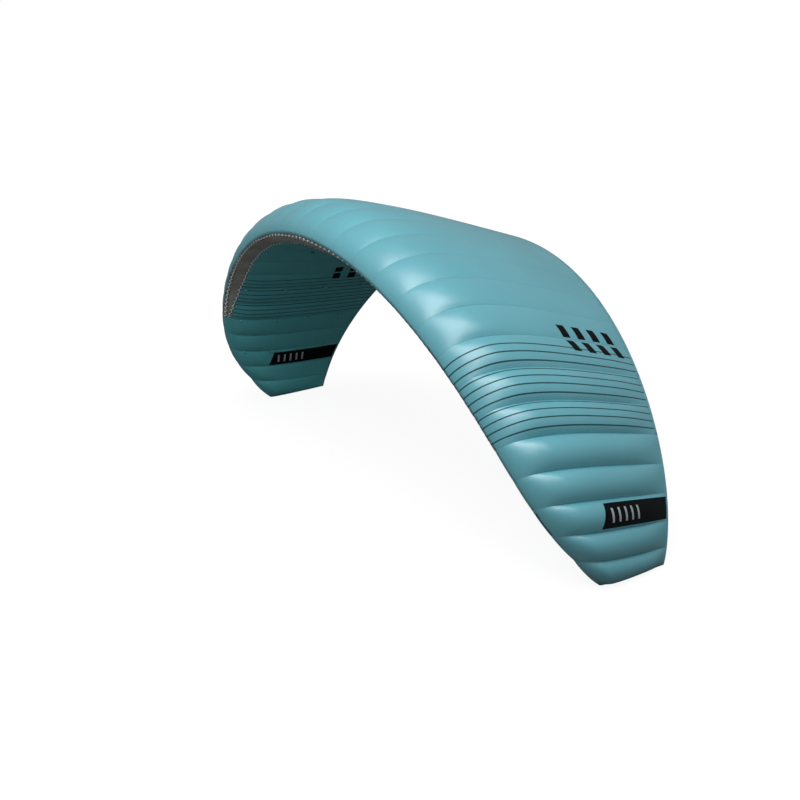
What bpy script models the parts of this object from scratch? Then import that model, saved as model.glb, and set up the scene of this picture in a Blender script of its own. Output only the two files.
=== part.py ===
import math

import bpy
import bmesh
import numpy as np
from mathutils import Matrix, Vector

# Foil kite: an arched, ram-air inflated wing that stands on its two wingtips.
# Local arch frame: X along the span, Y from the leading to the trailing edge,
# Z up. The whole arch then leans nose-up so that it balances on its tips.

# Plan of the wing, in metres
arc_to_tip = 1.85
centre_chord = 1.071
lead_bow = 0.457
lead_relief = 0.1275
lead_tip_sweep = 0.274
trail_bow = 0.194
trail_relief = 0.0323
trail_tip_relief = 0.0024

# Cloth, seams and small parts, in metres
cloth = 0.0008
seam_gap = 0.0003
rib_clearance = 0.0004
mesh_cloth = 0.0006
tab_width = 0.014
tab_drop = 0.016

# Angles, in radians
tip_lean = math.radians(90)
nose_up = math.radians(7.5)

# Counts
cells = 29
tip_cells = 5
span_steps = 4
belly_steps = 2
crown_stations = 10
belly_stations = 8
arc_steps = 400
port_corners = 8
nose_steps = 3

# Shares of the sizes above
arch_even_share = 0.869
arch_rise_share = -0.226
arch_power = 7.15
tip_power = 9.56
rib_crowding_share = 0.167
centre_depth_share = 0.123
tip_depth_share = 0.23
closed_tip_share = 0.25
closing_power = 0.57
belly_share = 0.1
belly_power = 0.6
nose_drop_share = 0.04
nose_drop_place_share = 0.1
nose_drop_spread_share = 0.27
even_tip_share = 0.412
even_start_share = 0.3
even_power = 1.5
crown_shares = (3.786, -1.3, -2.751, 2.6, -0.8)
crown_top_share = 1.035
station_power = 1.8
lip_share = 0.071
lip_narrowing_share = 0.72
lip_turn_share = 0.5
crown_billow_share = 0.11
belly_billow_share = 0.08
nose_billow_share = 0.3
full_billow_share = 0.14
tail_billow_share = 0.3
rib_end_share = 0.93
least_spread_share = 0.5
port_place_shares = (0.17, 0.35, 0.54)
port_length_shares = (0.05, 0.055, 0.05)
port_height_share = 0.27
port_rise_share = 0.46
tab_place_shares = (0.1, 0.34, 0.6, 0.84)

# Colours
teal = (0.118, 0.342, 0.407, 1.0)
deep_teal = (0.062, 0.188, 0.205, 1.0)
rib_grey = (0.62, 0.66, 0.66, 1.0)
mesh_grey = (0.066, 0.062, 0.055, 1.0)


def clear_scene():
    for item in list(bpy.data.objects):
        bpy.data.objects.remove(item, do_unlink=True)


clear_scene()
kite = bpy.data.collections.new("foil_kite")
bpy.context.scene.collection.children.link(kite)


def material(name, colour, roughness):
    made = bpy.data.materials.new(name)
    made.use_nodes = True
    shader = made.node_tree.nodes["Principled BSDF"]
    shader.inputs["Base Color"].default_value = colour
    shader.inputs["Roughness"].default_value = roughness
    shader.inputs["Metallic"].default_value = 0.0
    made.diffuse_color = colour
    return made


# The arch line: its lean grows from level at the centre to upright at the tips
arc_shares = np.linspace(0, 1, arc_steps + 1)
arch_end_share = 1 - arch_even_share - arch_rise_share
lean_table = arch_even_share * arc_shares + arch_rise_share * arc_shares**3
lean_table = tip_lean * (lean_table + arch_end_share * arc_shares**arch_power)


def summed(values):
    middles = (values[1:] + values[:-1]) / 2
    return np.concatenate([[0], np.cumsum(middles)]) * arc_to_tip / arc_steps


out_table = summed(np.cos(lean_table))
down_table = summed(np.sin(lean_table))


def arch(share):
    """Place and lean of the arch line at a signed share of the half arc."""
    size = abs(share)
    side = -1 if share < 0 else 1
    out = float(np.interp(size, arc_shares, out_table))
    down = float(np.interp(size, arc_shares, down_table))
    lean = float(np.interp(size, arc_shares, lean_table))
    return side * out, -down, side * lean


# Rib places as signed shares of the half arc, closer together near the tips
def rib_share(count):
    even = (count + 0.5) / (cells / 2)
    return (1 + rib_crowding_share) * even - rib_crowding_share * even**3


half_ribs = [rib_share(count) for count in range((cells + 1) // 2)]
ribs = [-place for place in reversed(half_ribs)] + half_ribs
last_rib = len(ribs) - 1


def lead(share):
    bowed = lead_bow * share**2 - lead_relief * share**4
    return bowed + lead_tip_sweep * abs(share) ** tip_power


def lead_slope(share):
    """How fast the leading edge falls back along the span."""
    step = 1 / arc_steps
    return (lead(abs(share)) - lead(abs(share) - step)) / (arc_to_tip * step)


def chord(share):
    bowed = centre_chord - trail_bow * share**2 + trail_relief * share**4
    trail = bowed + trail_tip_relief * abs(share) ** tip_power
    return trail - lead(share)


def depth(share):
    """Height of the section; the outermost cell closes down to a thin tip."""
    size = abs(share)
    full = chord(share) * (centre_depth_share + (tip_depth_share - centre_depth_share) * share**2)
    inner = half_ribs[-2]
    if size <= inner:
        return full
    along = min((size - inner) / (1 - inner), 1)
    return full * (closed_tip_share + (1 - closed_tip_share) * (1 - along**2) ** closing_power)


def crown(along):
    first, second, third, fourth, fifth = crown_shares
    raw = first * math.sqrt(along) + second * along + third * along**2 + fourth * along**3
    raw += fifth * along**4
    return (raw - along * sum(crown_shares)) / crown_top_share


def belly(along):
    return belly_share * math.sin(math.pi * along**belly_power)


def evenness(share):
    """How far a section has turned from a full crown to a form alike above and below."""
    past = max(abs(share) - even_start_share, 0) / (1 - even_start_share)
    return even_tip_share * past**even_power


def above(share, along):
    return (1 - evenness(share)) * crown(along) * depth(share)


def nose_drop(share, along):
    """Extra depth under the nose of the middle cells, which turns the air intake forward."""
    place = along / nose_drop_place_share
    spread = (share / nose_drop_spread_share) ** 2
    return nose_drop_share * chord(share) * place * math.exp(1 - place - spread)


def below(share, along):
    even = evenness(share)
    full = ((1 - even) * belly(along) + even * crown(along)) * depth(share)
    return full + nose_drop(share, along)


# Stations along the chord, dense at the nose
crown_places = [(step / crown_stations) ** station_power for step in range(crown_stations + 1)]
seam_half = cloth + seam_gap / 2


def lip(share):
    """Share of the chord where the lower cloth starts; the intake narrows to its ends."""
    span = half_ribs[-1 - tip_cells] - lip_turn_share
    past = min(max(abs(share) - lip_turn_share, 0) / span, 1)
    return lip_share * (1 - lip_narrowing_share * past**2)


def belly_places(share):
    front = lip(share)
    return [front + (1 - front) * step / (belly_stations - 1) for step in range(belly_stations)]


def section(share):
    """Closed outer section as (Y, height) points, from the upper tail round the nose."""
    front, length = lead(share), chord(share)
    step_back = seam_half * nose_steps / length
    points = []
    for along in reversed(crown_places):
        points.append((front + along * length, above(share, along) + seam_half * along))
    for along in [step_back] + belly_places(share):
        points.append((front + along * length, -below(share, along) - seam_half * along))
    return points


def outward(points):
    """Outward unit normal at each point of an open section."""
    normals = []
    for index in range(len(points)):
        before = points[max(index - 1, 0)]
        after = points[min(index + 1, len(points) - 1)]
        run, rise = after[0] - before[0], after[1] - before[1]
        size = math.hypot(run, rise)
        normals.append((rise / size, -run / size))
    return normals


def in_space(share, along, height):
    """A point of the arch frame from its rib place, its Y and its height."""
    out, up, lean = arch(share)
    size = abs(share)
    inner = half_ribs[-2]
    ramp = max(0, (size - inner) / (1 - inner))
    tip_middle = lead(1) + chord(1) / 2
    drop = ramp * (tip_middle - along) * math.tan(nose_up)
    return Vector((out + height * math.sin(lean), along, up + height * math.cos(lean) - drop))


def billow(share, station, is_crown):
    """How far the cloth stands out between the two ribs beside a place."""
    for index in range(last_rib):
        low, high = ribs[index], ribs[index + 1]
        if low <= share <= high:
            across = (share - low) / (high - low)
            width = (high - low) * arc_to_tip
            deep = crown_billow_share if is_crown else belly_billow_share
            swell = min(station / full_billow_share, 1)
            rise = nose_billow_share + (1 - nose_billow_share) * math.sin(swell * math.pi / 2)
            fade = 0 if station >= 1 else 1 - (1 - tail_billow_share) * station
            return deep * rise * fade * width * 4 * across * (1 - across)
    return 0


# The pieces hang in a frame that leans the whole arch nose-up
def empty(name, parent, place):
    made = bpy.data.objects.new(name, None)
    made.empty_display_size = tab_drop
    kite.objects.link(made)
    made.parent = parent
    made.location = place
    return made


wing_frame = empty("wing_frame", None, (0, 0, 0))
wing_frame.rotation_euler = (-nose_up, 0, 0)

# Each wingtip folds about a chordwise axis under the seam of its first rib
fold_rib = half_ribs[-1 - tip_cells]
fold_drop = max(below(fold_rib, along) for along in belly_places(fold_rib)) + seam_half + rib_clearance
fold_place = in_space(fold_rib, lead(fold_rib) + chord(fold_rib) / 2, -fold_drop)
right_fold = empty("right_tip_fold", wing_frame, fold_place)
left_fold = empty("left_tip_fold", wing_frame, (-fold_place.x, fold_place.y, fold_place.z))


def carried(made, share):
    """Hang a piece on the wing, or on its wingtip's fold axis."""
    carrier = wing_frame
    if abs(share) > fold_rib + cloth / arc_to_tip:
        carrier = left_fold if share < 0 else right_fold
    made.parent = carrier
    if carrier is not wing_frame:
        made.matrix_parent_inverse = Matrix.Translation(-carrier.location)


def keep(name, mesh, colour, place):
    made = bpy.data.objects.new(name, mesh)
    made.location = place
    mesh.materials.append(colour)
    kite.objects.link(made)
    return made


def skin(name, first, last, ends, side, colour):
    """Cloth panel over whole cells, from rib number first to rib number last."""
    steps = span_steps if side == "crown" else belly_steps
    places = []
    for index in range(first, last):
        low, high = ribs[index], ribs[index + 1]
        places += [low + (high - low) * step / steps for step in range(steps)]
    places.append(ribs[last])
    places[0] += ends[0] / arc_to_tip
    places[-1] -= ends[1] / arc_to_tip
    middle = (places[0] + places[-1]) / 2
    out, up, lean = arch(middle)
    origin = Vector((out, lead(middle), up))
    form = bmesh.new()
    rows = []
    for place in places:
        points = section(place)
        normals = outward(points)
        row = []
        for index in panel_stations(side):
            along, height = points[index]
            shift = billow(place, station_share(index, place), side == "crown")
            along += normals[index][0] * shift
            height += normals[index][1] * shift
            row.append(form.verts.new(in_space(place, along, height) - origin))
        if side == "mesh":
            row = shortened(form, row)
        rows.append(row)
    for near, far in zip(rows[:-1], rows[1:]):
        for step in range(len(near) - 1):
            corners = [near[step], far[step], far[step + 1], near[step + 1]]
            form.faces.new(corners)
    bmesh.ops.recalc_face_normals(form, faces=form.faces)
    form.normal_update()
    outer = sum((face.normal for face in form.faces), Vector())
    away = Vector((math.sin(lean), 0, math.cos(lean)))
    if (outer.dot(away) > 0) != (side == "crown"):
        bmesh.ops.reverse_faces(form, faces=form.faces)
    mesh = bpy.data.meshes.new(name)
    form.to_mesh(mesh)
    form.free()
    made = keep(name, mesh, colour, origin)
    wall = made.modifiers.new("wall", "SOLIDIFY")
    wall.thickness = mesh_cloth if side == "mesh" else cloth
    wall.offset = -1
    wall.use_even_offset = True
    mesh.polygons.foreach_set("use_smooth", [True] * len(mesh.polygons))
    carried(made, middle)
    return made


def panel_stations(side):
    nose = crown_stations
    if side == "crown":
        return list(range(0, nose + 1))
    if side == "mesh":
        return [nose + 1, nose + 2]
    if side == "open belly":
        return list(range(nose + 2, nose + 2 + belly_stations))
    return list(range(nose + 1, nose + 2 + belly_stations))


def station_share(index, share):
    if index <= crown_stations:
        return crown_places[crown_stations - index]
    return ([0] + belly_places(share))[index - crown_stations - 1]


def shortened(form, row):
    """Draw the rear edge of the intake cloth back from the lower lip."""
    back = row[0].co - row[-1].co
    row[-1].co += back.normalized() * (seam_gap + cloth / 2)
    return row


def inset(points, normals, distance):
    moved = []
    for index, (point, normal) in enumerate(zip(points, normals)):
        before = points[max(index - 1, 0)]
        run, rise = point[0] - before[0], point[1] - before[1]
        size = math.hypot(run, rise)
        spread = 1
        if size > 0:
            spread = abs((rise * normal[0] - run * normal[1]) / size)
        reach = distance / max(spread, least_spread_share)
        moved.append((point[0] - normal[0] * reach, point[1] - normal[1] * reach))
    return moved


def spline(curve, points):
    line = curve.splines.new("POLY")
    line.points.add(len(points) - 1)
    for slot, point in zip(line.points, points):
        slot.co = (point[0], point[1], 0, 1)
    line.use_cyclic_u = True


def flat_piece(name, outlines, share, offset, colour):
    """Flat cloth piece across the wing, filled from closed outlines."""
    curve = bpy.data.curves.new(name, "CURVE")
    curve.dimensions = "2D"
    curve.fill_mode = "BOTH"
    curve.extrude = cloth / 2
    for points in outlines:
        spline(curve, points)
    holder = bpy.data.objects.new(name + "_outline", curve)
    bpy.context.scene.collection.objects.link(holder)
    bpy.context.view_layer.update()
    mesh = bpy.data.meshes.new_from_object(holder.evaluated_get(bpy.context.evaluated_depsgraph_get()))
    bpy.data.objects.remove(holder, do_unlink=True)
    bpy.data.curves.remove(curve)
    form = bmesh.new()
    form.from_mesh(mesh)
    bmesh.ops.remove_doubles(form, verts=form.verts, dist=cloth / 16)
    form.to_mesh(mesh)
    form.free()
    mesh.name = name
    out, up, lean = arch(share)
    level = Vector((math.cos(lean), 0, -math.sin(lean)))
    made = keep(name, mesh, colour, Vector((out, 0, up)) + level * offset)
    turn = Matrix(((0, math.sin(lean), level.x), (1, 0, 0), (0, math.cos(lean), level.z)))
    made.rotation_euler = turn.to_euler()
    return made


def height_at(edge, place):
    """Height of an open edge of points at a place along it."""
    for near, far in zip(edge[:-1], edge[1:]):
        if near[0] <= place <= far[0]:
            return near[1] + (far[1] - near[1]) * (place - near[0]) / (far[0] - near[0])
    return edge[-1][1]


def with_tab(edge, middle):
    """The lower edge of a rib with one webbing tab hanging from it, drawn in a little beside it."""
    start, end = middle - tab_width / 2, middle + tab_width / 2
    foot = height_at(edge, middle) - tab_drop
    near, far = height_at(edge, start) + seam_gap, height_at(edge, end) + seam_gap
    tab = [(start, near), (start, foot), (end, foot), (end, far)]
    before = [point for point in edge if point[0] < start]
    after = [point for point in edge if point[0] > end]
    return before + tab + after


def rib(name, index, tabbed, offset, colour):
    """Inner rib with its cross ports, and webbing tabs where lines are tied."""
    share = ribs[index]
    points = section(share)
    normals = outward(points)
    held = inset(points, normals, cloth * (1 + lead_slope(share) / 2) + rib_clearance)
    front, length = lead(share), chord(share)
    rear = front + rib_end_share * length
    upper = [point for point in held[:crown_stations] if point[0] < rear]
    lower = [point for point in held[crown_stations + 1 :] if point[0] < rear]
    if tabbed:
        for place in tab_place_shares:
            lower = with_tab(lower, front + place * length)
    outline = upper + lower
    holes = []
    for place, reach in zip(port_place_shares, port_length_shares):
        local = above(share, place) + below(share, place)
        rise = port_rise_share * local - below(share, place)
        ring = []
        for corner in range(port_corners):
            angle = 2 * math.pi * (corner + 0.5) / port_corners
            across = front + (place + reach * math.cos(angle)) * length
            ring.append((across, rise + port_height_share * local * math.sin(angle)))
        holes.append(ring)
    made = flat_piece(name, [outline] + holes, share, offset, colour)
    carried(made, share)
    return made


def tip_rib(name, side, colour):
    """Flat closing rib at the end of a wingtip; the kite stands on it."""
    points = section(1)
    out, up, lean = arch(side)
    corners = [(along, height) for along, height in points]
    made = flat_piece(name, [corners], side, 0, colour)
    made.location = in_space(side, lead(1) + chord(1) / 2, 0)
    made.rotation_euler = (nose_up, 0, 0)
    tip_middle = lead(1) + chord(1) / 2
    form = bmesh.new()
    form.from_mesh(made.data)
    for vert in form.verts:
        along, height, rise = vert.co
        stretch = (along - tip_middle) / math.cos(nose_up)
        vert.co = (side * height, stretch, rise + cloth / 2)
    if side > 0:
        bmesh.ops.reverse_faces(form, faces=form.faces)
    form.to_mesh(made.data)
    form.free()
    carried(made, side)
    return made


# Materials
upper_cloth = material("upper_cloth", teal, 0.38)
lower_cloth = material("lower_cloth", deep_teal, 0.5)
rib_cloth = material("rib_cloth", rib_grey, 0.6)
intake_cloth = material("intake_mesh", mesh_grey, 0.8)
tip_cloth = material("tip_cloth", teal, 0.45)

# Rib numbers where panels meet: the wing's middle, then each folding wingtip
fold_left = tip_cells
fold_right = last_rib - tip_cells
panel_cuts = [fold_left, fold_left + 2, fold_left + 5, fold_left + 8]
panel_cuts += [last_rib - cut for cut in reversed(panel_cuts)]
tip_cuts = [0, tip_cells - 2, tip_cells]
intake_cuts = [fold_left, fold_left + 4, fold_left + 8, fold_right - 8, fold_right - 4, fold_right]
tabbed_ribs = panel_cuts + [tip_cells - 2, last_rib - tip_cells + 2]

# Ribs
for index in range(1, last_rib):
    count = index - cells // 2
    side = "right" if index > last_rib / 2 else "left"
    number = count if side == "right" else 1 - count
    offset = 0
    if index == fold_left:
        offset = cloth / 2
    if index == fold_right:
        offset = -cloth / 2
    rib(f"rib_{side}_{number:02d}", index, index in tabbed_ribs, offset, rib_cloth)
tip_rib("tip_rib_left", -1, tip_cloth)
tip_rib("tip_rib_right", 1, tip_cloth)

# Upper panels meet edge to edge over a rib
edge = seam_gap / 2
tip_end = cloth + seam_gap


def upper_panels():
    for count, (first, last) in enumerate(zip(panel_cuts[:-1], panel_cuts[1:])):
        ends = (0 if first == fold_left else edge, 0 if last == fold_right else edge)
        skin(f"upper_panel_{count + 1}", first, last, ends, "crown", upper_cloth)
    for count, (first, last) in enumerate(zip(tip_cuts[:-1], tip_cuts[1:])):
        start = tip_end if first == 0 else edge
        stop = seam_gap if last == fold_left else edge
        number = len(tip_cuts) - 1 - count
        skin(f"upper_tip_left_{number}", first, last, (start, stop), "crown", upper_cloth)
        far = (last_rib - last, last_rib - first)
        skin(f"upper_tip_right_{number}", far[0], far[1], (stop, start), "crown", upper_cloth)


# Lower panels stand clear of the rib between them, so that its tabs pass through
pass_through = cloth / 2 + seam_gap


def lower_panels():
    full = cloth + seam_gap
    for count, (first, last) in enumerate(zip(panel_cuts[:-1], panel_cuts[1:])):
        start = full if first == fold_left else pass_through
        stop = full if last == fold_right else pass_through
        skin(f"lower_panel_{count + 1}", first, last, (start, stop), "open belly", lower_cloth)
    for count, (first, last) in enumerate(zip(tip_cuts[:-1], tip_cuts[1:])):
        start = tip_end if first == 0 else pass_through
        stop = seam_gap if last == fold_left else pass_through
        number = len(tip_cuts) - 1 - count
        skin(f"lower_tip_left_{number}", first, last, (start, stop), "closed belly", lower_cloth)
        far = (last_rib - last, last_rib - first)
        skin(f"lower_tip_right_{number}", far[0], far[1], (stop, start), "closed belly", lower_cloth)


# Air-intake mesh under the nose of the open cells
def intakes():
    for count, (first, last) in enumerate(zip(intake_cuts[:-1], intake_cuts[1:])):
        skin(f"intake_mesh_{count + 1}", first, last, (edge, edge), "mesh", intake_cloth)


upper_panels()
lower_panels()
intakes()


# Stand the kite on its wingtips, centred over the origin
def seat():
    bpy.context.view_layer.update()
    graph = bpy.context.evaluated_depsgraph_get()
    low, high = Vector((math.inf,) * 3), Vector((-math.inf,) * 3)
    for made in kite.objects:
        if made.type != "MESH":
            continue
        solid = made.evaluated_get(graph)
        for vert in solid.data.vertices:
            spot = solid.matrix_world @ vert.co
            low = Vector(map(min, low, spot))
            high = Vector(map(max, high, spot))
    wing_frame.location = (0, -(low.y + high.y) / 2, -low.z)
    bpy.context.view_layer.update()


seat()
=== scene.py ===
import math
import bpy
import numpy as np
from mathutils import Matrix, Vector


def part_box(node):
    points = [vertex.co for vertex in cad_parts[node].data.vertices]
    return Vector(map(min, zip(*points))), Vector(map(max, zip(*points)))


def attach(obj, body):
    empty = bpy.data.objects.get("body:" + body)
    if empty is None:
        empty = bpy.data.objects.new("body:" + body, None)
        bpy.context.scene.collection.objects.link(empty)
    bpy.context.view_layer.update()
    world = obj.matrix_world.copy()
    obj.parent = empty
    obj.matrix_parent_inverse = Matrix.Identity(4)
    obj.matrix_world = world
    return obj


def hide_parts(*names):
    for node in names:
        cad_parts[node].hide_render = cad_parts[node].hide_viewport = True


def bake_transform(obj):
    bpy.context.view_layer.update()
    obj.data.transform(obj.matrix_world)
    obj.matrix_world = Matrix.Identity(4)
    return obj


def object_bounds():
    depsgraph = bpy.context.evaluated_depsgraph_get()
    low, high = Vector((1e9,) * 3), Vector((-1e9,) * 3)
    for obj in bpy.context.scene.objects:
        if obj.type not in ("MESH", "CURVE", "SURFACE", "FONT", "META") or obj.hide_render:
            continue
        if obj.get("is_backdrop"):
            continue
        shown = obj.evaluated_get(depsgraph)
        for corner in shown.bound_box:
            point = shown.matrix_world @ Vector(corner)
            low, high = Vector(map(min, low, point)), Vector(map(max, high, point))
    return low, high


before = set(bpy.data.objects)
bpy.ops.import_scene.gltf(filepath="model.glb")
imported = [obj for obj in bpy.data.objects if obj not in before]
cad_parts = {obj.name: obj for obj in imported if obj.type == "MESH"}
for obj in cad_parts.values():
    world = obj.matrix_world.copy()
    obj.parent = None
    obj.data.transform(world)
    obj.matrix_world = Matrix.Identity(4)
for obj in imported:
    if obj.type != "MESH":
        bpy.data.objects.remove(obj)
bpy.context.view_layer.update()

bpy.ops.object.select_all(action="DESELECT")

# Foil kite: an arched, ram-air inflated wing standing on its two wingtips.
# Plan and sections of the wing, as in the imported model: metres, shares and powers
arc_to_tip = 1.85
centre_chord = 1.071
lead_bow = 0.457
lead_relief = 0.1275
lead_tip_sweep = 0.274
trail_bow = 0.194
trail_relief = 0.0323
trail_tip_relief = 0.0024
arch_even = 0.869
arch_rise = -0.226
arch_power = 7.15
tip_power = 9.56
rib_crowding = 0.167
centre_depth = 0.123
tip_depth = 0.23
closed_tip = 0.25
closing_power = 0.57
belly_depth = 0.1
nose_depth = 0.04
nose_place = 0.1
nose_spread = 0.27
even_tip = 0.412
even_start = 0.3
belly_power = 0.6
even_power = 1.5
lip = 0.071
lip_narrowing = 0.72
lip_turn = 0.5
nose_up = math.radians(7.5)
upright = math.pi / 2
arc_steps = 400
cells = 29
last_rib = 29
middle_rib = 14
tip_cells = 5

# Cloth and tabs, in metres
millimetre = 0.001
ripstop_thickness = 0.0004
seam_lift = 0.0003
rib_allowance = 0.0025
tab_width = 0.014
tab_drop = 0.016

# Shares of the chord or of the section's height
crown_shape = (3.786, -1.3, -2.751, 2.6, -0.8)
crown_top = 1.035
tab_places = (0.1, 0.34, 0.6, 0.84)
port_places = (0.17, 0.35, 0.54)
port_lengths = (0.05, 0.055, 0.05)
port_rise = 0.46
port_height = 0.27

# Billow of the cloth between two ribs, as shares of the cell's width
crown_swell = 0.12
crown_tip_swell = 0.17
belly_swell = 0.06
belly_tip_swell = 0.05
last_cell_swell = 1.15
swell_power = 0.74

# Where the billow turns from the form of the middle cells to that of the wingtips
tipward_start = 0.35
tipward_span = 0.4

# How the billow grows and fades along the chord
nose_swell = 0.06
nose_swell_power = 1.6
crown_growth = 0.17
belly_growth = 0.32
belly_tip_growth = 0.16
fade_start = 0.12
fade_reach = 0.27
fade_power = 1.5
fade_least = 0.02
crown_tip_fade = 0.35
belly_tip_fade = 0.7
tail_closing = 0.05
tail_tip_closing = 0.3

# The arch line: level at the centre, upright at the wingtips
arc_shares = np.linspace(0, 1, arc_steps + 1)
lean_table = arch_even * arc_shares + arch_rise * arc_shares**3
lean_table = upright * (lean_table + (1 - arch_even - arch_rise) * arc_shares**arch_power)


def summed(values):
    middles = (values[1:] + values[:-1]) / 2
    return np.concatenate([[0], np.cumsum(middles)]) * arc_to_tip / arc_steps


out_table = summed(np.cos(lean_table))
down_table = summed(np.sin(lean_table))


def rib_share(count):
    even = (count + 0.5) / (cells / 2)
    return (1 + rib_crowding) * even - rib_crowding * even**3


half_ribs = [rib_share(count) for count in range(middle_rib + 1)]
ribs = np.array([-place for place in reversed(half_ribs)] + half_ribs)
inner_share = half_ribs[-2]


def tip_ramp(share):
    """0 up to the last inner rib, then up to 1 at the closing rib."""
    return np.clip((np.abs(share) - inner_share) / (1 - inner_share), 0, 1)


# Plan and sections. A share runs along the arch: -1 at the left wingtip, 1 at the right one
def lead(share):
    bowed = lead_bow * share**2 - lead_relief * share**4
    return bowed + lead_tip_sweep * np.abs(share) ** tip_power


def chord(share):
    bowed = centre_chord - trail_bow * share**2 + trail_relief * share**4
    trail = bowed + trail_tip_relief * np.abs(share) ** tip_power
    return trail - lead(share)


def depth(share):
    full = chord(share) * (centre_depth + (tip_depth - centre_depth) * share**2)
    return full * (closed_tip + (1 - closed_tip) * (1 - tip_ramp(share) ** 2) ** closing_power)


def crown(along):
    a, b, c, d, e = crown_shape
    raw = a * np.sqrt(along) + b * along + c * along**2 + d * along**3 + e * along**4
    return (raw - along * sum(crown_shape)) / crown_top


def belly(along):
    return belly_depth * np.sin(math.pi * along**belly_power)


def evenness(share):
    """How far a section has turned from a full crown to a form alike above and below."""
    return even_tip * (np.clip(np.abs(share) - even_start, 0, 1) / (1 - even_start)) ** even_power


def above(share, along):
    return (1 - evenness(share)) * crown(along) * depth(share)


def nose_drop(share, along):
    """Extra depth under the nose of the middle cells, which turns the air intake forward."""
    place = along / nose_place
    return nose_depth * chord(share) * place * np.exp(1 - place - (share / nose_spread) ** 2)


def below(share, along):
    even = evenness(share)
    full = ((1 - even) * belly(along) + even * crown(along)) * depth(share)
    return full + nose_drop(share, along)


tip_middle = float(lead(1.0) + chord(1.0) / 2)


def leaned(share, back, height):
    """Points of the wing after it leans nose-up, before it is stood on its tips."""
    share, back, height = np.broadcast_arrays(
        np.asarray(share, float), np.asarray(back, float), np.asarray(height, float)
    )
    size = np.abs(share)
    out = np.interp(size, arc_shares, out_table) * np.sign(share)
    down = np.interp(size, arc_shares, down_table)
    lean = np.interp(size, arc_shares, lean_table) * np.sign(share)
    drop = tip_ramp(share) * (tip_middle - back) * math.tan(nose_up)
    up = -down + height * np.cos(lean) - drop
    spots = [
        out + height * np.sin(lean),
        back * math.cos(nose_up) + up * math.sin(nose_up),
        up * math.cos(nose_up) - back * math.sin(nose_up),
    ]
    return np.stack(spots, -1)


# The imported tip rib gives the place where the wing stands
tip_low, tip_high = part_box("tip_rib_right")
tip_spot = leaned(1.0, tip_middle, 0.0)
stand_y = (tip_low[1] + tip_high[1]) / 2 - float(tip_spot[1])
stand_z = -float(tip_spot[2])


def in_wing(share, back, height):
    """Points of the standing wing, from metres behind its middle nose and off its arch line."""
    return leaned(share, back, height) + np.array([0.0, stand_y, stand_z])


def swell(side, share, across, width, station):
    """How far the cloth of a cell swells out between its two ribs."""
    on_crown = side == "crown"
    size = np.abs(share)
    tipward = np.clip((size - tipward_start) / tipward_span, 0, 1)
    # Along the chord it grows behind the nose, fades towards the tail and closes there
    growth = crown_growth if on_crown else belly_growth - belly_tip_growth * tipward
    grown = np.minimum(station / growth, 1)
    eased = grown**nose_swell_power * (1 + nose_swell_power * (1 - grown))
    rise = nose_swell + (1 - nose_swell) * eased
    past = np.clip((station - fade_start) / (1 - fade_start), 0, 1)
    middle_fade = fade_least + (1 - fade_least) * np.exp(-((past / fade_reach) ** fade_power))
    if on_crown:
        tip_fade = 1 - crown_tip_fade * past
    else:
        tip_fade = 1 - belly_tip_fade * (1 - middle_fade)
    fade = middle_fade + (tip_fade - middle_fade) * tipward
    to_tail = (1 - station) / (tail_closing + tail_tip_closing * tipward)
    closing = np.sin(np.clip(to_tail, 0, 1) * math.pi / 2)
    # Cells towards the wingtips swell more, and the last one most
    deep = belly_swell + belly_tip_swell * tipward
    if on_crown:
        deep = crown_swell + crown_tip_swell * tipward
    last = np.where(size > inner_share, last_cell_swell, 1.0)
    pillow = np.maximum(4 * across * (1 - across), 0) ** swell_power
    return deep * rise * fade * closing * last * width * pillow


def lip_at(share):
    """Share of the chord where the intake ends; it narrows towards both ends of the intake."""
    turned = float(half_ribs[-1 - tip_cells]) - lip_turn
    near_end = np.clip((np.abs(share) - lip_turn) / turned, 0, 1)
    return lip * (1 - lip_narrowing * near_end**2)


def span_places(first, last, steps):
    """Arc shares from rib to rib, with each one's cell, its share across and the cell's width."""
    shares, cell_count, across, widths = [], [], [], []
    for index in range(first, last):
        low, high = ribs[index], ribs[index + 1]
        for step in range(steps + (index == last - 1)):
            shares.append(low + (high - low) * step / steps)
            cell_count.append(index)
            across.append(step / steps)
            widths.append((high - low) * arc_to_tip)
    return np.array(shares), np.array(cell_count), np.array(across), np.array(widths)


def swollen_rows(side, shares, across, widths, x, lift=0.0):
    """Outer surface of a skin as a grid of points, one row for each place along the span."""
    t = shares[:, None]
    y = lead(t) + x * chord(t)
    up = above(t, x) + seam_lift * x if side == "crown" else -below(t, x) - seam_lift * x
    run, rise = np.gradient(y, axis=1), np.gradient(up, axis=1)
    size = np.hypot(run, rise)
    turn = 1 if side == "crown" else -1
    out = swell(side, t, across[:, None], widths[:, None], x) + lift
    return in_wing(t, y - turn * rise / size * out, up + turn * run / size * out)


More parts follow.
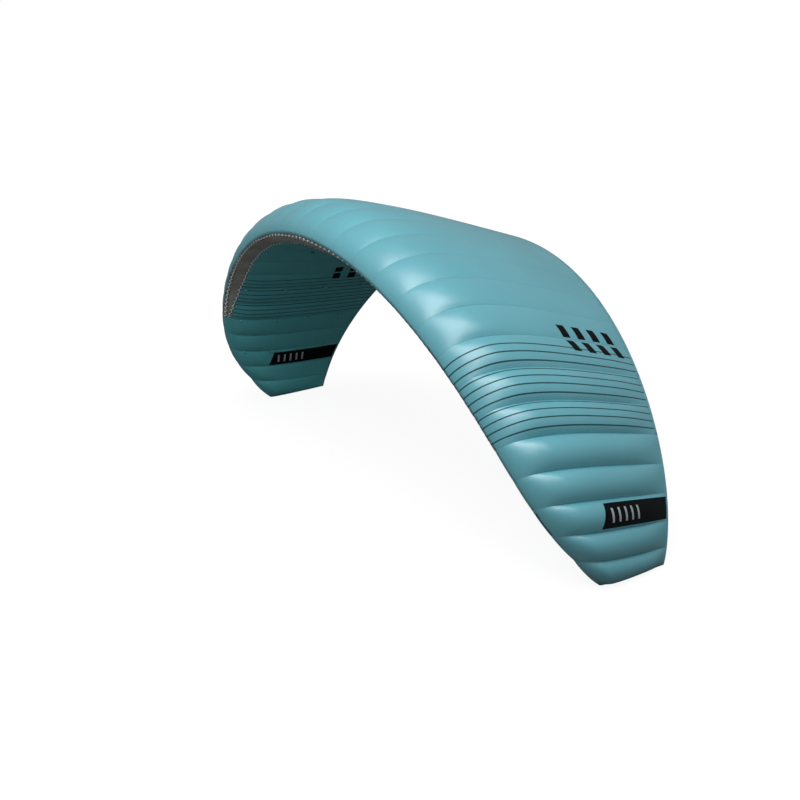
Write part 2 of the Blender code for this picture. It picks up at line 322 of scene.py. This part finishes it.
def sheet_of(name, grid, layers, finish, seams=(), thick=ripstop_thickness, flip=False):
    """One sheet of cloth from a grid of points, with its flat patterns as UV maps."""
    rows, columns = grid.shape[:2]
    index = np.arange(rows * columns).reshape(rows, columns)
    around = [index[:-1, :-1], index[1:, :-1], index[1:, 1:], index[:-1, 1:]]
    corners = np.stack(around, -1).reshape(-1, 4)
    if flip:
        corners = corners[:, ::-1]
    mesh = bpy.data.meshes.new(name)
    mesh.from_pydata(grid.reshape(-1, 3).tolist(), [], corners.tolist())
    used = np.zeros(len(mesh.loops), np.int32)
    mesh.loops.foreach_get("vertex_index", used)
    for title, pattern in layers.items():
        spread = [np.broadcast_to(part, (rows, columns)) for part in pattern]
        flat = np.stack(spread, -1).reshape(-1, 2)[used]
        layer = mesh.uv_layers.new(name=title)
        layer.data.foreach_set("uv", flat.ravel().astype(np.float32))
    mesh.polygons.foreach_set("use_smooth", [True] * len(mesh.polygons))
    if len(seams):
        seam_rows = np.zeros(rows, bool)
        seam_rows[list(seams)] = True
        ends = np.zeros(len(mesh.edges) * 2, np.int32)
        mesh.edges.foreach_get("vertices", ends)
        ends = ends.reshape(-1, 2) // columns
        sharp = (ends[:, 0] == ends[:, 1]) & seam_rows[ends[:, 0]]
        mesh.edges.foreach_set("use_edge_sharp", sharp)
    mesh.materials.append(finish)
    made = bpy.data.objects.new(name, mesh)
    bpy.context.scene.collection.objects.link(made)
    if thick:
        wall = made.modifiers.new("cloth", "SOLIDIFY")
        wall.thickness = thick
        wall.offset = -1
    return made


def flat_size(grid):
    """Width, length and area of a sheet before it was sewn in."""
    rows = np.linalg.norm(np.diff(grid, axis=0), axis=2).sum(0).max()
    columns = np.linalg.norm(np.diff(grid, axis=1), axis=2).sum(1).max()
    a, b = grid[1:, 1:] - grid[:-1, :-1], grid[:-1, 1:] - grid[1:, :-1]
    area = float(np.linalg.norm(np.cross(a, b), axis=2).sum() / 2)
    return (float(rows), float(columns)), area


# Wingtips fold about the belly of the rib where the intake ends; cloth near it rides on neither
# part
fold_rib = last_rib - tip_cells
fold_share = ribs[fold_rib]
fold_cells = 2
rib_tolerance = 1e-6


def fold_zone(side):
    middle = float(lead(fold_share) + chord(fold_share) / 2)
    ends = [
        in_wing(side * ribs[fold_rib + step], middle, 0.0) for step in (-fold_cells, fold_cells)
    ]
    return [tuple(float(v) for v in end) for end in ends]


def hang(piece, first, last):
    """Ride on the wing's middle or on a wingtip; a piece that crosses the fold stays in place on
    neither.
    """
    low, high = ribs[first], ribs[last]
    for side, name in ((1, "right_tip"), (-1, "left_tip")):
        near, far = sorted((side * low, side * high))
        if near >= ribs[fold_rib + fold_cells] - rib_tolerance:
            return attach(piece, name)
        if far > ribs[fold_rib - fold_cells] + rib_tolerance:
            start, end = fold_zone(side)
            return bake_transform(piece)
    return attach(piece, "canopy")


# Shader helpers for the cloths
def finish_of(name, colour, roughness):
    made = bpy.data.materials.new(name)
    made.use_nodes = True
    shader = made.node_tree.nodes["Principled BSDF"]
    shader.inputs["Base Color"].default_value = (*colour, 1.0)
    shader.inputs["Roughness"].default_value = roughness
    return made, made.node_tree, shader


def worked(tree, kind, *values, clamp=False):
    node = tree.nodes.new("ShaderNodeMath")
    node.operation = kind
    node.use_clamp = clamp
    for socket, value in zip(node.inputs, values):
        if isinstance(value, (int, float)):
            socket.default_value = value
        else:
            tree.links.new(value, socket)
    return node.outputs[0]


def plus(tree, first, second):
    return worked(tree, "ADD", first, second)


def minus(tree, first, second, clamp=False):
    return worked(tree, "SUBTRACT", first, second, clamp=clamp)


def times(tree, first, second, clamp=False):
    return worked(tree, "MULTIPLY", first, second, clamp=clamp)


def larger(tree, first, second):
    return worked(tree, "MAXIMUM", first, second)


def under(tree, value, limit):
    return worked(tree, "LESS_THAN", value, limit)


def unsigned(tree, value):
    return worked(tree, "ABSOLUTE", value)


def flat_map(tree, title):
    source = tree.nodes.new("ShaderNodeUVMap")
    source.uv_map = title
    parts = tree.nodes.new("ShaderNodeSeparateXYZ")
    tree.links.new(source.outputs[0], parts.inputs[0])
    return parts.outputs[0], parts.outputs[1]


def mixed(tree, factor, first, second, kind="MIX"):
    node = tree.nodes.new("ShaderNodeMix")
    node.data_type = "RGBA"
    node.blend_type = kind
    for place, value in ((0, factor), (6, first), (7, second)):
        socket = node.inputs[place]
        if isinstance(value, (int, float)):
            socket.default_value = value
        elif isinstance(value, tuple):
            socket.default_value = (*value, 1.0)
        else:
            tree.links.new(value, socket)
    return node.outputs[2]


def toned(tree, colour, tone):
    """A colour made lighter or darker by a tone near 1."""
    return mixed(tree, 1.0, colour, mixed(tree, 0.0, tone, tone), "MULTIPLY")


def darker(colour, share):
    return tuple(part * share for part in colour)


def cloudy(tree, scale, detail, low, high):
    """Slow uneven tone over a cloth, from low to high."""
    place = tree.nodes.new("ShaderNodeTexCoord")
    noise = tree.nodes.new("ShaderNodeTexNoise")
    noise.inputs["Scale"].default_value = scale
    noise.inputs["Detail"].default_value = detail
    tree.links.new(place.outputs["Object"], noise.inputs["Vector"])
    span = tree.nodes.new("ShaderNodeMapRange")
    limits = {"From Min": 0.3, "From Max": 0.7, "To Min": low, "To Max": high}
    for title, value in limits.items():
        span.inputs[title].default_value = value
    tree.links.new(noise.outputs[0], span.inputs[0])
    return span.outputs[0]


def near(tree, value, spacing, half):
    """1 on lines at every spacing, each of the given half width, else 0."""
    return under(tree, worked(tree, "PINGPONG", value, spacing / 2), half)


def between(tree, value, low, high):
    above_low = worked(tree, "GREATER_THAN", value, low)
    return times(tree, above_low, under(tree, value, high))


def stitches(tree, run):
    """1 on each stitch along a row, 0 between two stitches."""
    return near(tree, run, stitch_step, stitch_half)


def raised(tree, shader, height, strength):
    bump = tree.nodes.new("ShaderNodeBump")
    bump.inputs["Strength"].default_value = strength
    bump.inputs["Distance"].default_value = 1.0
    tree.links.new(height, bump.inputs["Height"])
    tree.links.new(bump.outputs[0], shader.inputs["Normal"])


# Colours of the cloths
teal = (0.106, 0.352, 0.418)
# Lower skin: the same teal cloth as the upper skin, painted lighter and greener as painted light
# on its shaded underside
lower_teal_painted_light = (0.09, 0.42, 0.46)
rib_white = (0.5, 0.55, 0.55)
gauze_grey = (0.36, 0.37, 0.34)
webbing_teal = (0.08, 0.31, 0.34)
ink = (0.002, 0.003, 0.004)
dash_grey = (0.32, 0.36, 0.37)
tape_dark = (0.06, 0.1, 0.09)
thread_pale = (0.95, 0.96, 0.93)
white = (1.0, 1.0, 1.0)
matt_tint = (0.05, 0.05, 0.05)

# Weave, seams and threads: metres, and how strong each mark is
weave_step = 0.005
weave_half = 0.0005
gauze_step = 0.002
gauze_half = 0.00042
seam_strip = 0.003
stitch_row = (0.0016, 0.0026)
tape_stitch_row = (0.0085, 0.0095)
stitch_step = 0.005
stitch_half = 0.0016
zigzag_run = 0.017
zigzag_slope = 0.45
zigzag_start = 0.0012
zigzag_half = 0.0029
weave_relief = 0.00004
weave_mark = 0.035
seam_mark = 0.06
stitch_mark = 0.25
pinstripe_mark = 0.82
pucker_relief = 0.00025
puckers_per_metre = 260.0
pucker_fall = 28.0

# Prints: places across the wing in cells from its middle, along it in metres from the tail
pinstripe_cells = (6.8, 9.4)
pinstripe_step = 0.245
pinstripe_half = 0.02
bar_rows = ((6.06, 6.45), (6.55, 6.94))
bar_run = (0.39, 0.71)
bar_step = 0.085
bar_half = 0.021
bar_slant = 0.05
band_cells = (11.63, 12.42)
band_run = 0.4
dash_cells = (11.8, 12.25)
dash_run = (0.198, 0.378)
dash_step = 0.036
dash_half = 0.0055
dash_slant = 0.03


def prints_of(tree, away, from_tail):
    """Pinstripes over three cells, slanted bars by the tail, a band with dashes at the tip."""
    lines = near(tree, away, pinstripe_step, pinstripe_half)
    lines = times(tree, lines, between(tree, away, *pinstripe_cells))
    slanted = plus(tree, from_tail, times(tree, away, bar_slant))
    bars = near(tree, slanted, bar_step, bar_half)
    bars = times(tree, bars, between(tree, slanted, *bar_run))
    bars = times(tree, bars, plus(tree, *(between(tree, away, *row) for row in bar_rows)))
    band = times(tree, between(tree, away, *band_cells), under(tree, from_tail, band_run))
    slanted = plus(tree, from_tail, times(tree, away, dash_slant))
    dashes = near(tree, slanted, dash_step, dash_half)
    dashes = times(tree, dashes, between(tree, from_tail, *dash_run))
    dashes = times(tree, dashes, between(tree, away, *dash_cells))
    return lines, larger(tree, bars, band), dashes


def skin_ripstop(name, colour, roughness, sheen, shine):
    """Coated ripstop of the outer skins: grid weave, sewn seams and prints."""
    made, tree, shader = finish_of(name, colour, roughness)
    span, along = flat_map(tree, "weave")
    from_seam, down_seam = flat_map(tree, "seam")
    cell, station = flat_map(tree, "cell")
    across_lines = near(tree, span, weave_step, weave_half)
    grid = larger(tree, across_lines, near(tree, along, weave_step, weave_half))
    tone = cloudy(tree, 2.5, 3.0, 0.95, 1.05)
    tone = times(tree, tone, minus(tree, 1.0, times(tree, grid, weave_mark)))
    cloth = toned(tree, colour, tone)
    # Sewn seam: a darker folded strip with two rows of stitches
    strip = times(tree, under(tree, from_seam, seam_strip), seam_mark)
    rows = times(tree, between(tree, from_seam, *stitch_row), stitches(tree, down_seam))
    cloth = mixed(tree, strip, cloth, darker(colour, 0.3))
    cloth = mixed(tree, times(tree, rows, stitch_mark), cloth, darker(colour, 0.2))
    away = unsigned(tree, minus(tree, cell, cells / 2))
    length = worked(tree, "DIVIDE", along, larger(tree, station, 0.001))
    lines, blocks, dashes = prints_of(tree, away, minus(tree, length, along))
    printed = larger(tree, times(tree, lines, pinstripe_mark), blocks)
    cloth = mixed(tree, printed, cloth, ink)
    cloth = mixed(tree, dashes, cloth, dash_grey)
    tree.links.new(cloth, shader.inputs["Base Color"])
    # The ink lies matt on the shiny coating
    patches = cloudy(tree, 9.0, 4.0, roughness - 0.04, roughness + 0.04)
    inked = plus(tree, patches, times(tree, blocks, 0.5))
    tree.links.new(inked, shader.inputs["Roughness"])
    tree.links.new(mixed(tree, printed, white, matt_tint), shader.inputs["Specular Tint"])
    shader.inputs["Specular IOR Level"].default_value = shine
    shader.inputs["Sheen Weight"].default_value = sheen
    shader.inputs["Sheen Roughness"].default_value = 0.35
    # Puckers fade out from each seam, over the low relief of the grid
    faded = minus(tree, 1.0, times(tree, from_seam, pucker_fall, clamp=True), clamp=True)
    pull = worked(tree, "POWER", faded, 2.0)
    run = times(tree, down_seam, puckers_per_metre)
    waves = worked(tree, "SINE", plus(tree, run, cloudy(tree, 14.0, 2.0, 0.0, 9.0)))
    relief = times(tree, times(tree, waves, pull), pucker_relief)
    raised(tree, shader, plus(tree, relief, times(tree, grid, weave_relief)), 0.6)
    return made


def plain_cloth(name, colour, roughness, grain):
    """Cloth of one colour; the grain is its noise's scale and detail, and its tone's range."""
    made, tree, shader = finish_of(name, colour, roughness)
    cloth = toned(tree, colour, cloudy(tree, *grain))
    tree.links.new(cloth, shader.inputs["Base Color"])
    return made


def intake_gauze():
    """Open gauze: pale threads, half clear between them."""
    made, tree, shader = finish_of("intake_gauze", gauze_grey, 0.75)
    span, along = flat_map(tree, "weave")
    across_threads = near(tree, span, gauze_step, gauze_half)
    threads = larger(tree, across_threads, near(tree, along, gauze_step, gauze_half))
    cloth = toned(tree, gauze_grey, cloudy(tree, 7.0, 3.0, 0.7, 1.35))
    tree.links.new(cloth, shader.inputs["Base Color"])
    clear = worked(tree, "MULTIPLY_ADD", threads, 0.55, 0.45)
    tree.links.new(clear, shader.inputs["Alpha"])
    return made


def hem_tape():
    """Dark tape with a pale zigzag thread along its fold."""
    made, tree, shader = finish_of("hem_tape", thread_pale, 0.6)
    span, from_fold = flat_map(tree, "weave")
    wave = worked(tree, "PINGPONG", span, zigzag_run)
    line = worked(tree, "MULTIPLY_ADD", wave, zigzag_slope, zigzag_start)
    off_line = unsigned(tree, minus(tree, unsigned(tree, from_fold), line))
    cloth = mixed(tree, under(tree, off_line, zigzag_half), tape_dark, thread_pale)
    tree.links.new(cloth, shader.inputs["Base Color"])
    return made


def tail_tape():
    """Binding tape in the skins' colour, with a row of stitches at each edge."""
    made, tree, shader = finish_of("tail_tape", teal, 0.55)
    span, across = flat_map(tree, "weave")
    edges = between(tree, unsigned(tree, across), *tape_stitch_row)
    rows = times(tree, edges, stitches(tree, span))
    cloth = toned(tree, teal, cloudy(tree, 20.0, 3.0, 0.8, 0.95))
    cloth = mixed(tree, rows, cloth, darker(teal, 0.4))
    tree.links.new(cloth, shader.inputs["Base Color"])
    return made


upper_finish = skin_ripstop("upper_ripstop", teal, roughness=0.4, sheen=0.06, shine=0.95)
# The lower skin's colour holds painted light: the upper teal made lighter and greener
lower_finish = skin_ripstop("lower_ripstop", lower_teal_painted_light, roughness=0.5, sheen=0.02, shine=0.4)
tip_finish = plain_cloth("tip_ripstop", teal, 0.45, grain=(12.0, 3.0, 0.9, 1.05))
binding_finish = tail_tape()
rib_finish = plain_cloth("rib_ripstop", rib_white, 0.6, grain=(12.0, 3.0, 0.85, 1.05))
gauze_finish = intake_gauze()
hem_finish = hem_tape()
tab_finish = plain_cloth("tab_webbing", webbing_teal, 0.7, grain=(900.0, 2.0, 0.6, 1.6))


def cell_maps(shares, cell_count, across, widths, x):
    """Flat patterns of a skin: its weave, its distance from a seam and its place in a cell."""
    t = shares[:, None]
    length = chord(t)
    seam_gap = np.minimum(across, 1 - across) * widths
    return {
        "weave": (t * arc_to_tip, x * length),
        "seam": (seam_gap[:, None], x * length),
        "cell": ((cell_count + across)[:, None], x),
    }


# Skins: every panel runs over whole cells and is sewn to a rib at each of them
crown_stations = np.linspace(0, 1, 71) ** 1.7
closed_stations = np.linspace(0, 1, 57) ** 1.5
open_stations = np.linspace(0, 1, 45)
gauze_stations = np.linspace(0, 1, 9)
span_steps = 12
hem_steps = 24
lip_scallop = 0.014


def lip_line(shares, across, widths):
    """Where the lower skin's front edge runs, a little drawn back in each cell."""
    return lip_at(shares) + lip_scallop * widths * 4 * across * (1 - across) / chord(shares)


def skin(name, first, last, side, stations, finish):
    """One panel of a skin, from rib to rib, in place of its packed panel."""
    shares, cell_count, across, widths = span_places(first, last, span_steps)
    if side == "open belly":
        front = lip_line(shares, across, widths)
        x = front[:, None] + (1 - front[:, None]) * stations[None, :]
    else:
        x = np.broadcast_to(stations[None, :], (len(shares), len(stations)))
    grid = swollen_rows("crown" if side == "crown" else "belly", shares, across, widths, x)
    seams = range(0, len(shares), span_steps)
    maps = cell_maps(shares, cell_count, across, widths, x)
    piece = sheet_of(name + "_cloth", grid, maps, finish, seams, flip=side == "crown")
    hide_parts(name)
    hang(piece, first, last)


# Numbers of the ribs where one panel ends and the next begins
panel_cuts = [5, 7, 10, 13, 16, 19, 22, 24]
tip_cuts = [0, 3, 5]
intake_cuts = [5, 9, 13, 16, 20, 24]
for count, (first, last) in enumerate(zip(panel_cuts[:-1], panel_cuts[1:])):
    skin(f"upper_panel_{count + 1}", first, last, "crown", crown_stations, upper_finish)
    skin(f"lower_panel_{count + 1}", first, last, "open belly", open_stations, lower_finish)
for count, (first, last) in enumerate(zip(tip_cuts[:-1], tip_cuts[1:])):
    number = len(tip_cuts) - 1 - count
    for hand, low, high in (("left", first, last), ("right", last_rib - last, last_rib - first)):
        upper, lower = f"upper_tip_{hand}_{number}", f"lower_tip_{hand}_{number}"
        skin(upper, low, high, "crown", crown_stations, upper_finish)
        skin(lower, low, high, "closed belly", closed_stations, lower_finish)


# Air intake: gauze from the nose to the lower lip, with a hem tape along each edge
gauze_sink = 0.0008
hem_thickness = 0.0004
hem_overhang = 0.0006
nose_hem_place = 0.0022
hem_depths = np.array([0.0, 0.0004, 0.005, 0.0105])
hem_lifts = np.array([0.0012, 0.0014, 0.0012, 0.0002, -0.0009, -0.0012, -0.0012])
hem_order = [3, 2, 1, 0, 1, 2, 3]
hem_sides = np.array([-1, -1, -1, 0, 1, 1, 1])
hem_waves = ((0.0012, 210, 0), (0.0006, 540, 1))


def intake(name, first, last):
    """Gauze over a stretch of the air intake, with its two hem tapes."""
    shares, cell_count, across, widths = span_places(first, last, span_steps)
    front = lip_line(shares, across, widths)
    x = front[:, None] * gauze_stations[None, :]
    grid = swollen_rows("belly", shares, across, widths, x, -gauze_sink)
    seams = range(0, len(shares), span_steps)
    maps = cell_maps(shares, cell_count, across, widths, x)
    gauze = sheet_of(name + "_gauze", grid, maps, gauze_finish, seams, thick=0)
    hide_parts(name)
    hang(gauze, first, last)
    hems = [hem(f"{name}_{title}_hem", first, last, title == "lip") for title in ("nose", "lip")]
    flat, area = flat_size(grid)
    area = min(area, flat[0] * flat[1])


def hem(name, first, last, at_lip):
    """Narrow tape folded round the cut edge of a skin, slightly uneven as it is sewn."""
    shares, cell_count, across, widths = span_places(first, last, hem_steps)
    run = shares * arc_to_tip
    edge = nose_hem_place
    if at_lip:
        edge = lip_line(shares, across, widths) * chord(shares) - hem_overhang
    edge = edge + sum(reach * np.sin(run * pace + start) for reach, pace, start in hem_waves)
    x = (edge[:, None] + hem_depths[None, :]) / chord(shares)[:, None]
    strip = swollen_rows("belly", shares, across, widths, x)
    raised_strip = swollen_rows("belly", shares, across, widths, x, millimetre)
    rise = (raised_strip - strip) / millimetre
    strip = strip[:, hem_order] + rise[:, hem_order] * hem_lifts[None, :, None]
    from_fold = hem_sides * hem_depths[hem_order]
    maps = {"weave": (run[:, None], from_fold[None, :])}
    piece = sheet_of(name, strip, maps, hem_finish, thick=hem_thickness)
    hang(piece, first, last)
    return piece


for count, (first, last) in enumerate(zip(intake_cuts[:-1], intake_cuts[1:])):
    intake(f"intake_mesh_{count + 1}", first, last)


# Ribs: flat cloth across the wing, with the ports that let air through
rib_stations = np.linspace(0, 1, 61) ** 1.7
rib_end = 0.97
port_corners = 32


def filled(name, outlines):
    """Flat mesh filled from closed outlines of (Y, height) points, holes included."""
    curve = bpy.data.curves.new(name, "CURVE")
    curve.dimensions = "2D"
    curve.fill_mode = "BOTH"
    for points in outlines:
        line = curve.splines.new("POLY")
        line.points.add(len(points) - 1)
        for slot, (y, up) in zip(line.points, points):
            slot.co = (y, up, 0, 1)
        line.use_cyclic_u = True
    made = bpy.data.objects.new(name, curve)
    bpy.context.scene.collection.objects.link(made)
    bpy.ops.object.select_all(action="DESELECT")
    made.select_set(True)
    bpy.context.view_layer.objects.active = made
    bpy.ops.object.convert(target="MESH")
    return bpy.context.object


def cut_flat(piece, share, finish):
    """Stand a filled rib in its place across the wing and give it its cloth."""
    mesh = piece.data
    flat = np.array([tuple(vert.co) for vert in mesh.vertices])
    spots = in_wing(share, flat[:, 0], flat[:, 1])
    mesh.vertices.foreach_set("co", spots.ravel())
    mesh.update()
    used = np.zeros(len(mesh.loops), np.int32)
    mesh.loops.foreach_get("vertex_index", used)
    layer = mesh.uv_layers.new(name="weave")
    layer.data.foreach_set("uv", flat[used, :2].ravel().astype(np.float32))
    mesh.materials.clear()
    mesh.materials.append(finish)
    wall = piece.modifiers.new("cloth", "SOLIDIFY")
    wall.thickness = ripstop_thickness
    wall.offset = 0


def rib_outline(share, allowance, rear):
    """Upper and lower edge of a rib, drawn in from the skins by the seam allowance."""
    length, front = float(chord(share)), float(lead(share))
    x = rear * rib_stations
    top, foot = above(share, x), -below(share, x)
    points = list(zip(front + x * length, top))[::-1] + list(zip(front + x * length, foot))[1:]
    points = np.array(points)
    run = np.gradient(points, axis=0)
    run /= np.linalg.norm(run, axis=1)[:, None]
    return points + np.stack([-run[:, 1], run[:, 0]], -1) * allowance


def rib_sheet(name, index):
    share = float(ribs[index])
    length, front = float(chord(share)), float(lead(share))
    outline = rib_outline(share, rib_allowance, rib_end)
    rings = []
    for place, reach in zip(port_places, port_lengths):
        foot = -float(below(share, place))
        local = float(above(share, place)) - foot
        turns = np.linspace(0, 2 * math.pi, port_corners + 1)[:-1]
        ring_y = front + (place + reach * np.cos(turns)) * length
        ring_up = foot + port_rise * local + port_height * local * np.sin(turns)
        rings.append(list(zip(ring_y, ring_up)))
    piece = filled(name + "_cloth", [outline.tolist()] + rings)
    cut_flat(piece, share, rib_finish)
    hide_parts(name)
    hang(piece, index, index)


def numbered(kind, index):
    """Name of what belongs to a rib, counted from the middle to each side."""
    if index > middle_rib:
        return f"{kind}_right_{index - middle_rib:02d}"
    return f"{kind}_left_{middle_rib + 1 - index:02d}"


for index in range(1, last_rib):
    rib_sheet(numbered("rib", index), index)


# Closing rib of each wingtip, flat on the ground
def tip_sheet(hand, side):
    piece = filled(f"tip_rib_{hand}_cloth", [rib_outline(1.0, 0.0, 1.0)[:-1].tolist()])
    cut_flat(piece, float(side), tip_finish)
    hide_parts(f"tip_rib_{hand}")
    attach(piece, f"{hand}_tip")


tip_sheet("left", -1)
tip_sheet("right", 1)


# Trailing edge: a folded tape that binds the upper skin to the lower one
binding_steps = 6
binding_thickness = 0.0003
binding_reach = 0.011
binding_folds = np.array([-1.0, -0.5, -0.04, 0.0, 0.04, 0.5, 1.0])[None, :]
binding_lifts = np.array([0.7, 0.9, 0.6, 0.0, -0.6, -0.9, -0.7])[None, :] * millimetre
binding_backs = np.array([1.0, 0.5, 0.02, -0.07, 0.02, 0.5, 1.0])[None, :] * binding_reach


def tail_binding(name, first, last):
    shares, cell_count, across, widths = span_places(first, last, binding_steps)
    t = shares[:, None]
    x = 1 - binding_backs / chord(t)
    kept = np.minimum(x, 1)
    top = above(t, kept) + swell("crown", t, across[:, None], widths[:, None], kept)
    foot = -below(t, kept) - swell("belly", t, across[:, None], widths[:, None], kept)
    up = np.where(binding_folds < 0, top, np.where(binding_folds > 0, foot, 0))
    grid = in_wing(t, lead(t) + x * chord(t), up + binding_lifts)
    maps = {"weave": (t * arc_to_tip, binding_folds * binding_reach)}
    piece = sheet_of(name, grid, maps, binding_finish, thick=binding_thickness, flip=True)
    hang(piece, first, last)


for count, (first, last) in enumerate(zip(panel_cuts[:-1], panel_cuts[1:])):
    tail_binding(f"tail_binding_{count + 1}", first, last)
tail_binding("tail_binding_tip_left", 0, tip_cells)
tail_binding("tail_binding_tip_right", fold_rib, last_rib)


# Webbing tabs: one folded loop is modelled, then copied to each place under a seam
loop_radius = 0.0042
loop_narrowing = 0.62
loop_closing = 0.35
loop_top = 0.35
webbing_thickness = 0.001
sewn_in = 0.002


def webbing_loop():
    bpy.ops.object.select_all(action="DESELECT")
    bpy.ops.mesh.primitive_cylinder_add(
        vertices=20,
        radius=loop_radius,
        depth=tab_width,
        end_fill_type="NOTHING",
        rotation=(math.pi / 2, 0, 0),
    )
    loop = bpy.context.object
    bpy.ops.object.transform_apply(location=False, rotation=True, scale=False)
    bpy.ops.object.mode_set(mode="EDIT")
    bpy.ops.mesh.select_all(action="SELECT")
    drawn_out = (loop_narrowing, 1, tab_drop / (2 * loop_radius))
    bpy.ops.transform.resize(value=drawn_out, center_override=(0, 0, 0))
    bpy.ops.transform.translate(value=(0, 0, -tab_drop / 2))
    # The two ends of the webbing are brought together, to be sewn into the seam
    bpy.ops.mesh.select_all(action="DESELECT")
    bpy.ops.mesh.select_mode(type="VERT")
    bpy.ops.object.mode_set(mode="OBJECT")
    for vert in loop.data.vertices:
        vert.select = vert.co.z > -tab_drop * loop_top
    bpy.ops.object.mode_set(mode="EDIT")
    bpy.ops.transform.resize(value=(loop_closing, 1, 1), center_override=(0, 0, 0))
    bpy.ops.object.mode_set(mode="OBJECT")
    wall = loop.modifiers.new("webbing", "SOLIDIFY")
    wall.thickness = webbing_thickness
    wall.offset = 0
    bpy.ops.object.modifier_apply(modifier="webbing")
    bpy.ops.object.shade_smooth_by_angle(angle=math.radians(40))
    return loop


def tabs_under(name, index, loop):
    share = float(ribs[index])
    length, front = float(chord(share)), float(lead(share))
    step = 0.01
    copies = []
    for place in tab_places:
        y, up = front + place * length, sewn_in - float(below(share, place))
        spot = in_wing(share, y, up)
        down, rear = in_wing(share, y, up - step), in_wing(share, y + step, up)
        z_axis = Vector(spot - down).normalized()
        y_axis = Vector(rear - spot).normalized()
        x_axis = y_axis.cross(z_axis).normalized()
        y_axis = z_axis.cross(x_axis)
        made = bpy.data.objects.new(name, loop.data.copy())
        bpy.context.scene.collection.objects.link(made)
        turn = Matrix((x_axis, y_axis, z_axis)).transposed().to_4x4()
        made.data.transform(Matrix.Translation(Vector(spot)) @ turn)
        copies.append(made)
    bpy.ops.object.select_all(action="DESELECT")
    for made in copies:
        made.select_set(True)
    bpy.context.view_layer.objects.active = copies[0]
    bpy.ops.object.join()
    piece = bpy.context.object
    piece.name = name
    piece.data.materials.clear()
    piece.data.materials.append(tab_finish)
    hang(piece, index, index)


loop = webbing_loop()
for index in panel_cuts + [tip_cuts[1], last_rib - tip_cuts[1]]:
    tabs_under(numbered("line_tabs", index), index, loop)
bpy.data.objects.remove(loop, do_unlink=True)

# Camera, matched to the photo's outline
camera_data = bpy.data.cameras.new("camera")
camera_data.sensor_width = 36
camera_data.lens = 64.787145
camera = bpy.data.objects.new("camera", camera_data)
bpy.context.scene.collection.objects.link(camera)
bpy.context.scene.camera = camera
camera.location = (5.105240, -3.162197, 2.364033)
camera.rotation_euler = (1.2456392, 0.0262252, 1.0209041)

# Floor and world: a white ground that keeps the shadow, and pale light from all round
floor_grey = (0.14, 0.14, 0.14)
floor_drop = 0.0005
paleness = 0.91
far_paleness = 0.1
near_reach = 2.0
far_reach = 7.0
sky_light = 0.3

bpy.ops.mesh.primitive_plane_add(size=60, location=(0, 0, -floor_drop))
floor = bpy.context.object
floor.name = "floor"
floor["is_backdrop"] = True
ground, tree, shader = finish_of("pale_floor", floor_grey, 0.9)
shader.inputs["Specular IOR Level"].default_value = 0.0
shader.inputs["Emission Color"].default_value = (1, 1, 1, 1)
spot = tree.nodes.new("ShaderNodeTexCoord")
reach = tree.nodes.new("ShaderNodeVectorMath")
reach.operation = "LENGTH"
tree.links.new(spot.outputs["Object"], reach.inputs[0])
past_near = minus(tree, reach.outputs["Value"], near_reach)
far_off = times(tree, past_near, 1 / (far_reach - near_reach), clamp=True)
glow = worked(tree, "MULTIPLY_ADD", far_off, far_paleness, paleness)
seen = tree.nodes.new("ShaderNodeLightPath").outputs["Is Camera Ray"]
tree.links.new(times(tree, seen, glow), shader.inputs["Emission Strength"])
floor.data.materials.append(ground)

world = bpy.data.worlds.new("white_room")
bpy.context.scene.world = world
world.use_nodes = True
tree = world.node_tree
sky = tree.nodes["Background"]
sky.inputs["Color"].default_value = (1, 1, 1, 1)
seen = tree.nodes.new("ShaderNodeLightPath").outputs["Is Camera Ray"]
glow = worked(tree, "MULTIPLY_ADD", seen, 1 - sky_light, sky_light)
tree.links.new(glow, sky.inputs["Strength"])


# Lamps: soft light from above, all turned to the wing
lit_spot = Vector((0, 0, 0.6))


def lamp(name, energy, size, place):
    data = bpy.data.lights.new(name, "AREA")
    data.energy = energy
    data.size = size
    made = bpy.data.objects.new(name, data)
    bpy.context.scene.collection.objects.link(made)
    made.location = place
    towards = lit_spot - Vector(place)
    made.rotation_euler = towards.to_track_quat("-Z", "Y").to_euler()


lamp("key_lamp", energy=280, size=4.2, place=(1.85, -2.35, 5.8))
lamp("side_lamp", energy=72, size=3.0, place=(4.2, 0.4, 6.0))
lamp("front_lamp", energy=60, size=3.0, place=(3.67, -3.67, 3.6))

bpy.context.scene.view_settings.view_transform = "Standard"
low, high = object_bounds()
